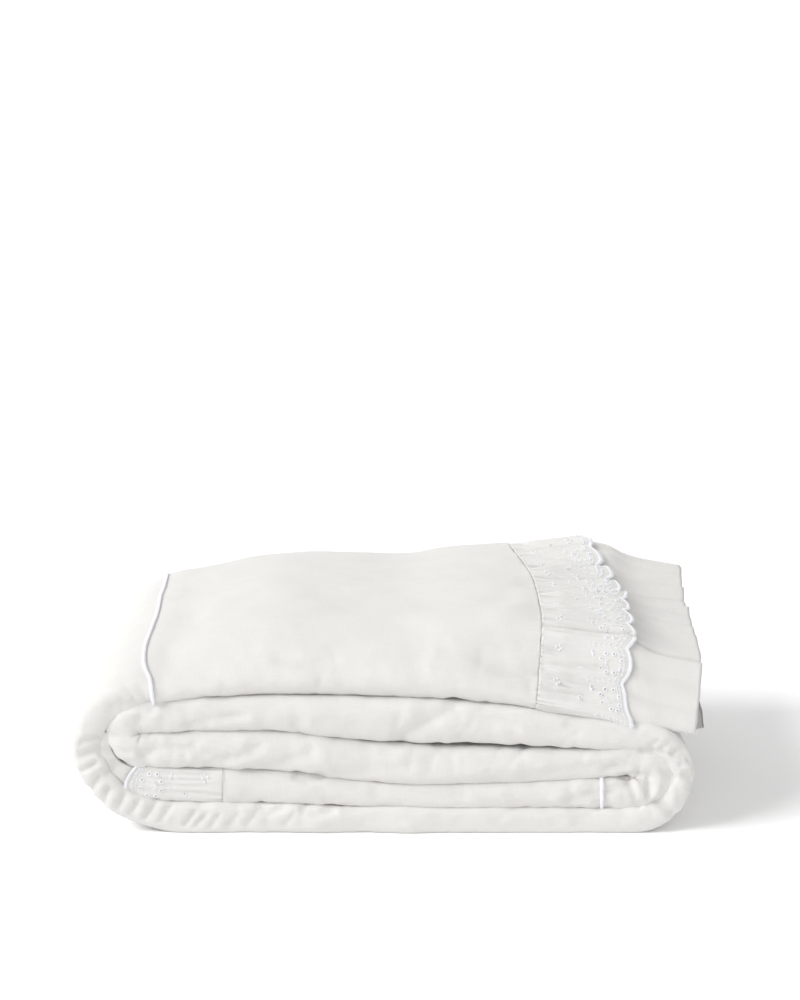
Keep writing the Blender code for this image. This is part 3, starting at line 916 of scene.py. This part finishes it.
def makeTier(name, key, outer, lace, material):
    look = tiers[key]
    distances = np.concatenate(([fit["start"]], rowsFromSeam(0.0, look["length"], look["step"])))
    points, s, w = layTier(look, outer, lace, distances)
    if not lace:  # a narrow hem, turned under along the free edge
        normal = normalsOf(points)
        for drop, back in hemTurns:
            row = int(round(back / look["step"]))
            edge = points[-1 - row] if back else points[-1]
            turned = edge + normal[-1 - row] * drop * (1 if outer else -1)
            points = np.concatenate((points, turned[None]))
            s, w = np.concatenate((s, s[-1:])), np.concatenate((w, w[-1:]))
            normal = np.concatenate((normal, normal[-1:]))
    laid = points
    if outer:  # the rows run against the body's, so the faces are turned round
        points, s, w = points[::-1], s[::-1], w[::-1]
    piece = clothPiece(name, look["node"], points, s, w, material)
    edgeW = w[0] if outer else w[-1]
    return piece, LaceSurface(laid, edgeW, distances, outer)


outerPlain, _ = makeTier("outerPlainRuffle", "outerPlain", True, False, linen)
outerLace, outerSurface = makeTier("outerLaceRuffle", "outerLace", True, True, laceCloth)
innerPlain, _ = makeTier("innerPlainRuffle", "innerPlain", False, False, linen)
innerLace, innerSurface = makeTier("innerLaceRuffle", "innerLace", False, True, laceCloth)


# Stitches, eyelets and cords: small shapes set on points that carry their turn and stretch.
def threadMaterial(name, tone, deep, rough):
    material, tree, shader = newMaterial(name, {"Roughness": rough, "Sheen Weight": 0.2})
    place = tree.nodes.new("ShaderNodeTexCoord")
    fleck = noiseNode(tree, place.outputs["Object"], 1500.0, 2)
    tonesAndBump(tree, shader, fleck, tone, deep, fleck, 0.3, 0.0002)
    return material


whiteThread = threadMaterial("whiteSatinThread", (0.86, 0.87, 0.90), (0.76, 0.77, 0.81), 0.55)
linenThread = threadMaterial("linenSewingThread", (0.78, 0.765, 0.73), (0.66, 0.645, 0.60), 0.75)
# Dark grey discs set inside the eyelet rings: painted shade standing in for the shaded cloth seen through
# each hole.
paintedHoleShade = threadMaterial("eyeletPaintedShade", (0.47, 0.46, 0.44), (0.40, 0.39, 0.37), 0.95)


def setterTree(kind):
    tree = bpy.data.node_groups.new(kind + "Setter", "GeometryNodeTree")
    tree.is_modifier = True
    given, out = openSockets(tree, (
        ("INPUT", "Geometry", ("Geometry",)),
        ("INPUT", "Float", ("Size", "Uneven")),
        ("INPUT", "Int", ("Seed",)),
        ("INPUT", "Material", ("Thread",)),
        ("OUTPUT", "Geometry", ("Geometry",)),
    ))

    def add(kind, inputs, output, **settings):
        return addNode(tree, kind, inputs, **settings).outputs[output]

    def circle(sides, radius):
        return add("GeometryNodeCurvePrimitiveCircle", {"Resolution": sides, "Radius": radius}, "Curve")

    def carried(label):
        return add("GeometryNodeInputNamedAttribute", {"Name": label}, "Attribute",
                   data_type="FLOAT_VECTOR")

    if kind == "stitch":
        ball = add("GeometryNodeMeshUVSphere", {"Segments": 6, "Rings": 4, "Radius": 0.5}, "Mesh")
        turned = {"Geometry": ball, "Rotation": (0, math.pi / 2, 0)}
        made = add("GeometryNodeTransform", turned, "Geometry")
    elif kind == "eyelet":
        ring = {"Curve": circle(10, 0.40), "Profile Curve": circle(5, 0.16)}
        made = add("GeometryNodeCurveToMesh", ring, "Mesh")
    else:
        # a flat disc that carries the painted shade of an eyelet's hole
        made = add("GeometryNodeMeshCircle", {"Vertices": 9, "Radius": 0.30}, "Mesh", fill_type="NGON")
    chance = add("FunctionNodeRandomValue", {"Seed": given.outputs["Seed"]}, 1, data_type="FLOAT")
    size = mathNode(tree, "MULTIPLY_ADD", chance, given.outputs["Uneven"], given.outputs["Size"])
    stretch = add("ShaderNodeVectorMath", {0: carried("stretch"), "Scale": size}, 0, operation="SCALE")
    spots = {"Points": given.outputs["Geometry"], "Instance": made, "Rotation": carried("turn"),
             "Scale": stretch}
    real = add("GeometryNodeRealizeInstances", {0: add("GeometryNodeInstanceOnPoints", spots, 0)}, 0)
    painted = {"Geometry": real, "Material": given.outputs["Thread"]}
    tree.links.new(add("GeometryNodeSetMaterial", painted, 0), out.inputs[0])
    return tree


setters = {kind: setterTree(kind) for kind in ("stitch", "eyelet", "shadeDisc")}


def setShapes(name, kind, spots, material, uneven, seed):
    mesh = bpy.data.meshes.new(name + "Spots")
    mesh.from_pydata([tuple(s[0]) for s in spots], [], [])
    turn = mesh.attributes.new("turn", "FLOAT_VECTOR", "POINT")
    stretch = mesh.attributes.new("stretch", "FLOAT_VECTOR", "POINT")
    for i, (_, along, normal, size) in enumerate(spots):
        x = Vector(along).normalized()
        z = (Vector(normal) - x * Vector(normal).dot(x)).normalized()
        y = z.cross(x)
        basis = [[x[k], y[k], z[k]] for k in range(3)]
        turn.data[i].vector = Matrix(basis).to_euler()
        stretch.data[i].vector = size
    carrier = inScene(name + "Carrier", mesh)
    modifier = carrier.modifiers.new("setter", "NODES")
    modifier.node_group = setters[kind]
    values = {"Size": 1.0 - uneven / 2, "Uneven": uneven, "Seed": seed, "Thread": material}
    for item in setters[kind].interface.items_tree:
        if item.in_out == "INPUT" and item.name in values:
            modifier[item.identifier] = values[item.name]
    graph = bpy.context.evaluated_depsgraph_get()
    made = bpy.data.meshes.new_from_object(carrier.evaluated_get(graph))
    bpy.data.objects.remove(carrier)
    made.name = name
    made.shade_smooth()
    piece = inScene(name, made)
    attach(piece, "root")
    print(name, len(spots), "shapes,", len(made.polygons), "faces")
    return piece


# Corded edgings, overcast by hand in white thread.
edging = {"plan": (150, 34, 90, 24, 10, 6), "radius": 0.0017, "sides": 8, "rise": 0.0007,
          "aside": 0.002, "strand": 0.0013, "stitchFrom": 0.002, "stitchGap": 0.00125,
          "stitch": (0.0046, 0.0013, 0.0011), "slant": 0.42, "stitchRise": 0.72}


def makeCord(name, node, s, look, material):
    plan = foldPlan(*look["plan"])
    points, _, flatW = layCloth([s - look["aside"], s, s + look["aside"]], plan, cordLean)
    normal = normalsOf(points)[1]
    aside = points[2] - points[0]
    aside /= np.linalg.norm(aside, axis=1)[:, None]
    middle = points[1] + normal * look["rise"]
    rings = []
    for k in range(look["sides"] + 1):
        angle = 2 * math.pi * k / look["sides"]
        rings.append(middle + look["radius"] * (normal * math.cos(angle) + aside * math.sin(angle)))
    across = np.repeat(flatW[1][None, :], len(rings), axis=0)
    around = np.arange(len(rings))[:, None] * look["strand"] + 0 * across
    cord = clothPiece(name, node, np.array(rings[::-1]), around, across, material)
    run = np.concatenate(([0.0], np.cumsum(np.linalg.norm(np.diff(middle, axis=0), axis=1))))
    visible = run[sum(look["plan"][:3]) - 1]
    spots = []

    def partWay(table, at):
        return Vector([np.interp(at, run, table[:, k]) for k in range(3)])

    for at in np.arange(look["stitchFrom"], visible, look["stitchGap"]):
        centre, up, side = (partWay(table, at) for table in (middle, normal, aside))
        along = (partWay(middle, at + mm) - centre).normalized()
        slanted = side * math.cos(look["slant"]) + along * math.sin(look["slant"])
        spots.append((centre + up * look["radius"] * look["stitchRise"], slanted, up, look["stitch"]))
    stitches = setShapes(name + "Overcast", "stitch", spots, material, 0.2, 7)
    return cord, stitches


outerCord, outerOvercast = makeCord("outerCord", "cord_outer", cordOuter, edging, whiteThread)
innerCord, innerOvercast = makeCord("innerCord", "cord_inner", cordInner, edging, whiteThread)


# Embroidery of the lace tiers: scalloped satin border, eyelet rings, sprays and dots.
embroidery = {
    "until": 0.46,  # how far across the cloth it is worked where it can be seen
    "barGap": 0.000861, "bar": (0.0037, 0.0011, 0.0012), "barIn": 0.0018,
    "edgeStitch": (0.0018, 0.0011, 0.0011), "edgeIn": 0.0006, "edgeShare": 0.6,
    "ringRadius": 0.0105, "ringEyelets": 8, "ringAt": 0.0625, "ringFlat": 0.9,
    "eyelet": 0.0040, "smallEyelet": 0.0036, "smallEyeletAt": (0.006, 0.036),
    "leaf": (0.0042, 0.0017, 0.0010), "smallLeaf": (0.0032, 0.0011, 0.0007),
    "spray": 5, "sprayTurns": (0.15, 0.175), "sprayRadius": 0.0034, "sprayIn": 0.0010,
    "stems": 6, "stemFrom": 0.010, "stemGap": 0.0050, "stemApart": 0.0014,
    "borderRows": ((0.0066, 15, 1.0), (0.0098, 13, 0.88)),  # way in, leaves, share of the scallop
    "leafTurn": 0.75,
    "dot": (0.0023, 0.0023, 0.0015), "dotsAside": 0.008,
    "dots": ((-0.0030, 0.0165), (0.0, 0.0180), (0.0026, 0.0160), (-0.0010, 0.0135)),
    "sprigAt": (-0.009, 0.045), "sprigRadius": 0.0022, "sprigTurns": (0.6, 1.55, 2.5),
    "margin": 0.006, "stray": 0.002, "seed": 21,
}


def embroider(name, surface, start, until, look, shift=0.0):
    draw = random.Random(look["seed"])
    stitches, eyelets, shadeDiscs = [], [], []
    firstTurn, nextTurn = look["sprayTurns"]
    pitch, length, ringAt = strip["scallopPitch"], surface.length, look["ringAt"]

    def eyelet(across, away, size):
        eyelets.append(surface.spot(across, away, 0, (size, size, size * 0.8), 0.0002))
        # a dark disc in each eyelet: painted shade for the shaded cloth seen through the hole
        shadeDiscs.append(surface.spot(across, away, 0, (size, size, size), 0.00022))

    def leaf(across, away, angle, size):
        stitches.append(surface.spot(across, away, angle, size))

    for across in np.arange(start, until, look["barGap"]):
        leaf(across, length - look["barIn"], math.pi / 2, look["bar"])
        if draw.random() < look["edgeShare"]:
            leaf(across, length - look["edgeIn"], draw.gauss(0, 0.15), look["edgeStitch"])
    for k in range(int(start / pitch), int(until / pitch) + 1):
        middle = (k + 0.5) * pitch - shift
        if not start + look["margin"] < middle < until - look["margin"]:
            continue
        for i in range(look["ringEyelets"]):
            angle = 2 * math.pi * (i + 0.5) / look["ringEyelets"]
            away = ringAt + look["ringRadius"] * look["ringFlat"] * math.sin(angle)
            eyelet(middle + look["ringRadius"] * math.cos(angle), away, look["eyelet"])
        for i in range(look["spray"]):  # small leaves inside the open side of the ring
            angle = math.pi * (firstTurn + nextTurn * i)
            away = ringAt - look["sprayIn"] - look["sprayRadius"] * math.sin(angle)
            leaf(middle + look["sprayRadius"] * math.cos(angle), away, angle, look["smallLeaf"])
        for side in (-1, 1):  # the spray that runs up between two scallops
            root = middle + pitch / 2 * side - side * look["stemApart"]
            for i in range(look["stems"]):
                away = length - look["stemFrom"] - look["stemGap"] * i
                leaf(root, away, math.pi / 2 + side * look["leafTurn"], look["smallLeaf"])
        for row, (wayIn, count, share) in enumerate(look["borderRows"]):  # leaves along the border
            for i in range(count):
                across = middle + pitch * share * (i / (count - 1) - 0.5)
                turn = look["leafTurn"] if (i + row) % 2 else -look["leafTurn"]
                leaf(across, length - wayIn, turn, look["smallLeaf"])
        across, away = look["smallEyeletAt"]
        eyelet(middle + across + draw.gauss(0, look["stray"]), away + draw.gauss(0, look["stray"]),
               look["smallEyelet"])
        for across, away in look["dots"]:
            leaf(middle + across - look["dotsAside"], away, draw.uniform(0, 3), look["dot"])
        across, away = look["sprigAt"]
        for turn in look["sprigTurns"]:
            leaf(middle + across + look["sprigRadius"] * math.cos(turn),
                 away + look["sprigRadius"] * math.sin(turn), turn, look["leaf"])
    work = setShapes(name + "Satin", "stitch", stitches, whiteThread, 0.15, 5)
    rings = setShapes(name + "Eyelets", "eyelet", eyelets, whiteThread, 0.1, 6)
    # the eyelet discs are painted shade, not real holes
    holeShadeDiscs = setShapes(name + "EyeletShadeDiscs", "shadeDisc", shadeDiscs, paintedHoleShade, 0.0, 6)
    return [work, rings, holeShadeDiscs]


outerWork = embroider("outerLace", outerSurface, 0.0, embroidery["until"], embroidery)
innerWork = embroider("innerLace", innerSurface, 0.28, embroidery["until"], embroidery,
                      tiers["innerLace"]["scallopShift"])


# The gathering stitches that show as a row of small teeth along each ruffle seam.
seamTeeth = {"gap": 0.0024, "size": (0.0024, 0.0011, 0.0010), "away": 0.0010, "until": 0.45, "seed": 17}


def gatherStitches(name, surface, start, look):
    draw = random.Random(look["seed"])
    spots = []
    for across in np.arange(start, look["until"], look["gap"]):
        spots.append(surface.spot(across + draw.gauss(0, 0.0003), look["away"] + draw.gauss(0, 0.0002),
                                  math.pi / 2 + draw.gauss(0, 0.25), look["size"], 0.0001))
    return setShapes(name, "stitch", spots, linenThread, 0.25, 9)


outerTeeth = gatherStitches("outerSeamStitches", outerSurface, 0.0, seamTeeth)
innerTeeth = gatherStitches("innerSeamStitches", innerSurface, 0.30, seamTeeth)


# Floor, light and camera.
studio = {"floor": 30.0, "wall": 25.0, "bend": 4.0, "bendSteps": 12, "paint": (0.98, 0.98, 0.98, 1),
          "sky": 0.58, "horizon": (0.05, 0.20)}
wide, wall, bend = studio["floor"], studio["wall"], studio["bend"]
sweep = [(-wide, 0.0), (wall - bend, 0.0)]
for i in range(1, studio["bendSteps"] + 1):
    angle = math.pi / 2 * i / studio["bendSteps"]
    sweep.append((wall - bend * (1 - math.sin(angle)), bend * (1 - math.cos(angle))))
sweep.append((wall, wide))
corners = [(x, y, z) for y, z in sweep for x in (-wide, wide)]
quads = [(2 * i, 2 * i + 1, 2 * i + 3, 2 * i + 2) for i in range(len(sweep) - 1)]
floorMesh = bpy.data.meshes.new("floor")
floorMesh.from_pydata(corners, [], quads)
floorMesh.shade_smooth()
paint, _, _ = newMaterial("studioFloor", {"Base Color": studio["paint"], "Roughness": 0.9})
floorMesh.materials.append(paint)
floor = inScene("floor", floorMesh)

scene = bpy.context.scene
scene.view_settings.view_transform = "Standard"
scene.world = bpy.data.worlds.new("studio")
scene.world.use_nodes = True
sky = scene.world.node_tree
around = addNode(sky, "ShaderNodeTexCoord").outputs["Generated"]
heightUp = addNode(sky, "ShaderNodeSeparateXYZ", {0: around}).outputs[2]
fade = addNode(sky, "ShaderNodeMapRange", {  # white at the horizon, softer overhead
    "Value": heightUp, "From Min": studio["horizon"][0], "From Max": studio["horizon"][1],
    "To Min": 1.0, "To Max": studio["sky"],
})
background = sky.nodes["Background"]
background.inputs["Color"].default_value = (1.0, 1.0, 1.0, 1)
sky.links.new(fade.outputs[0], background.inputs["Strength"])


def farLight(name, direction, strength, softness):
    data = bpy.data.lights.new(name, "SUN")
    data.energy, data.angle = strength, math.radians(softness)
    lamp = inScene(name, data)
    lamp.rotation_euler = Vector(direction).to_track_quat("Z", "Y").to_euler()


farLight("leftLight", (-0.74, -0.26, 0.64), 2.30, 30)
farLight("frontLight", (0.10, -0.85, 0.50), 0.42, 60)

view = {  # degrees, metres, then lengths in the units of the picture's width, and the sensor in mm
    "elevation": 21.0, "away": 1.8, "target": (0.0015, -0.175, 0.066),
    "focal": 1935.0, "aimDown": 271.0, "width": 800, "sensor": 36,
}
elevation = math.radians(view["elevation"])
camera = inScene("camera", bpy.data.cameras.new("camera"))
camera.data.sensor_width = view["sensor"]
camera.data.sensor_fit = "HORIZONTAL"
camera.data.lens = view["sensor"] * view["focal"] / view["width"]
pitch = elevation - math.atan(view["aimDown"] / view["focal"])
toCamera = Vector((0, -math.cos(elevation), math.sin(elevation)))
camera.location = Vector(view["target"]) + view["away"] * toCamera
camera.rotation_euler = (math.pi / 2 - pitch, 0, 0)
scene.camera = camera
